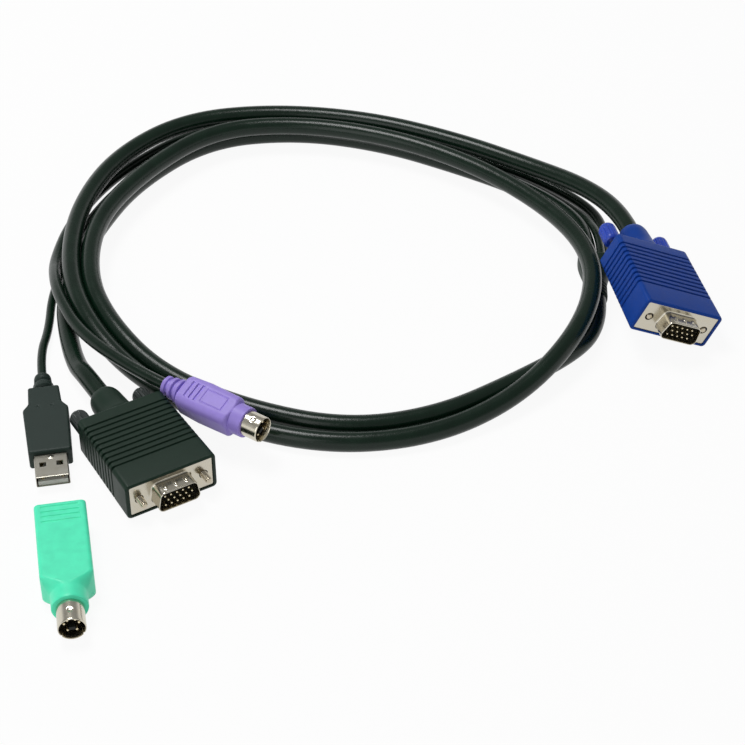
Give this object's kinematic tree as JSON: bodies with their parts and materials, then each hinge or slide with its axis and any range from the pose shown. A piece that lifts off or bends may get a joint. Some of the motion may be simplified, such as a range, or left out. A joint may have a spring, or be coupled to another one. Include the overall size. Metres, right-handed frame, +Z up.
{
  "type": "kvm cable",
  "caption": "Loosely looped KVM cable: blue D-sub plug at the switch end; black D-sub, USB and violet PS/2 plugs at the computer end, with a green USB to PS/2 adapter.",
  "frame": {"origin": "on the table, below the middle of the box round the plugs, breakout and adapter", "axes": "+X to the right and +Y away from the viewer as in the picture, +Z up from the table"},
  "size_m": [0.2636, 0.3137, 0.0292],
  "materials": {
    "blue_overmould": "satin moulded PVC",
    "blue_knob": "satin moulded plastic",
    "black_overmould": "satin moulded PVC",
    "black_knob": "satin moulded plastic",
    "violet_overmould": "satin moulded PVC",
    "green_moulding": "satin moulded plastic",
    "cable_jacket": "glossy extruded PVC",
    "nickel": "nickel-plated steel",
    "screw_steel": "plated steel",
    "black_insulator": "moulded thermoplastic",
    "white_insulator": "moulded thermoplastic",
    "gold": "gold-flashed contacts"
  },
  "bodies": {
    "harness": {"console_hood": "blue_overmould", "console_shell": "nickel", "console_insulator": "black_insulator", "console_pins": "gold", "computer_hood": "black_overmould", "computer_shell": "nickel", "computer_insulator": "black_insulator", "computer_pins": "gold", "usb_hood": "black_overmould", "usb_shell": "nickel", "usb_tongue": "white_insulator", "usb_contacts": "gold", "ps2_hood": "violet_overmould", "ps2_shell": "nickel", "ps2_insulator": "black_insulator", "ps2_pins": "gold", "adapter_body": "green_moulding", "adapter_socket": "nickel", "adapter_tongue": "white_insulator", "adapter_contacts": "gold", "adapter_shell": "nickel", "adapter_insulator": "black_insulator", "adapter_pins": "gold", "breakout_boot": "black_overmould", "trunk_cable": "cable_jacket", "video_branch": "cable_jacket", "ps2_branch": "cable_jacket", "usb_branch": "cable_jacket"},
    "console_thumbscrew_left": {"console_knob_left": "blue_knob", "console_screw_left": "screw_steel"},
    "console_thumbscrew_right": {"console_knob_right": "blue_knob", "console_screw_right": "screw_steel"},
    "computer_thumbscrew_left": {"computer_knob_left": "black_knob", "computer_screw_left": "screw_steel"},
    "computer_thumbscrew_right": {"computer_knob_right": "black_knob", "computer_screw_right": "screw_steel"}
  },
  "joints": [
    {"name": "console_thumbscrew_left_turn", "type": "hinge", "parent": "harness", "child": "console_thumbscrew_left", "pos_m": [0.09253, 0.08547, 0.02122], "axis": [0.2111, -0.9763, -0.0471], "continuous": true},
    {"name": "console_thumbscrew_right_turn", "type": "hinge", "parent": "harness", "child": "console_thumbscrew_right", "pos_m": [0.11452, 0.09073, 0.01055], "axis": [0.2111, -0.9763, -0.0471], "continuous": true},
    {"name": "computer_thumbscrew_left_turn", "type": "hinge", "parent": "harness", "child": "computer_thumbscrew_left", "pos_m": [-0.10532, -0.00767, 0.0075], "axis": [0.515, -0.8572, 0], "continuous": true},
    {"name": "computer_thumbscrew_right_turn", "type": "hinge", "parent": "harness", "child": "computer_thumbscrew_right", "pos_m": [-0.08389, 0.00521, 0.0075], "axis": [0.515, -0.8572, 0], "continuous": true}
  ]
}
